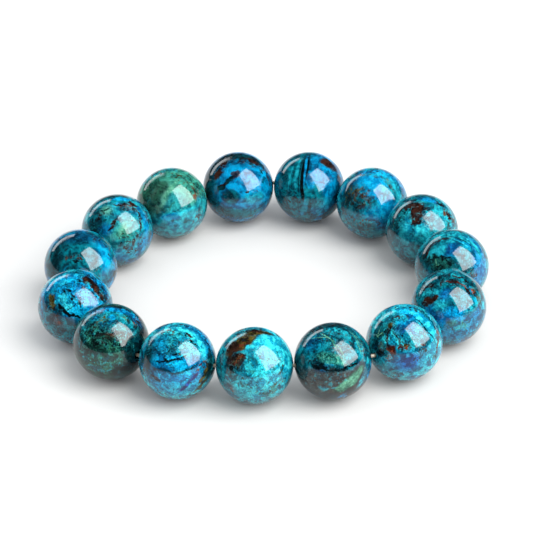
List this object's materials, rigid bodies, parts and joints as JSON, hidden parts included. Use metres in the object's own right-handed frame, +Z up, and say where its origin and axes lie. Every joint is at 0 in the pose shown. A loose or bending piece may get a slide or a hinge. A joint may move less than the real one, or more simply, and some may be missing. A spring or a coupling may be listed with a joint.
{
  "type": "azurite and malachite bead bracelet",
  "caption": "Stretch bracelet of polished round azurite and malachite beads, drilled and strung on an elastic cord, lying flat as a loop that a hand passes through.",
  "frame": {"origin": "middle of the loop, on the surface that the beads lie on", "axes": "+Z up out of the loop, +X across its longer width, -Y towards the front of the picture"},
  "size_m": [0.0851, 0.077, 0.014],
  "materials": {
    "malachite_green": "high polish, green malachite mottled with dark and blue patches",
    "azurite_blue": "high polish, azure blue with dark veins and green patches",
    "turquoise_blend": "high polish, turquoise with blue patches and rusty brown specks",
    "elastic": "glossy, pale greyish elastic"
  },
  "bodies": {
    "root": {"bead_01": "malachite_green", "bead_02": "azurite_blue", "bead_03": "azurite_blue", "bead_04": "turquoise_blend", "bead_05": "turquoise_blend", "bead_06": "malachite_green", "bead_07": "turquoise_blend", "bead_08": "turquoise_blend", "bead_09": "malachite_green", "bead_10": "turquoise_blend", "bead_11": "azurite_blue", "bead_12": "malachite_green", "bead_13": "azurite_blue", "bead_14": "azurite_blue", "bead_15": "malachite_green", "elastic_cord": "elastic"}
  },
  "joints": []
}
